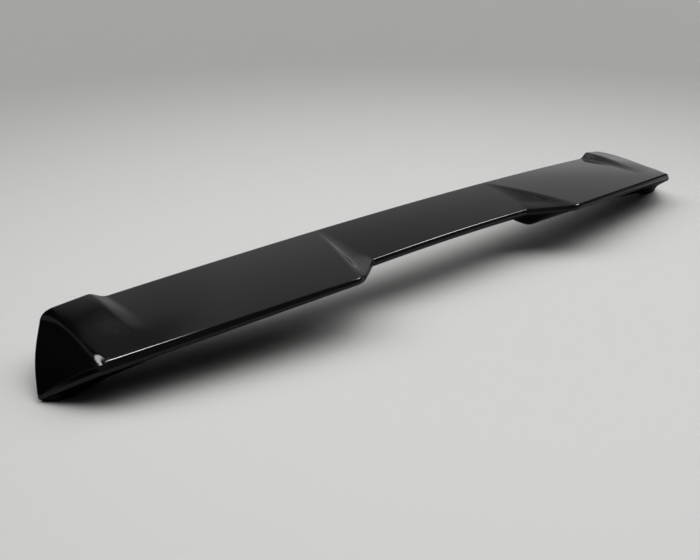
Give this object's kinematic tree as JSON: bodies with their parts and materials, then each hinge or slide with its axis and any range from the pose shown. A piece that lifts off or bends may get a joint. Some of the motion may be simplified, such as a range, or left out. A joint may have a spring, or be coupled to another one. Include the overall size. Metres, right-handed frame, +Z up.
{
  "type": "roof spoiler",
  "caption": "Gloss black roof spoiler with turned-down ends, raised end ridges and a stepped-in centre section.",
  "frame": {"origin": "bottom centre of the bounding box, level with the feet's flats", "axes": "+X across the car to its right side seen from behind, +Y towards the front of the car, +Z up"},
  "size_m": [1.2478, 0.2014, 0.091],
  "materials": {
    "gloss_black": "gloss black paint under clear lacquer on smooth moulded plastic"
  },
  "bodies": {
    "root": {"spoiler": "gloss_black"}
  },
  "joints": []
}
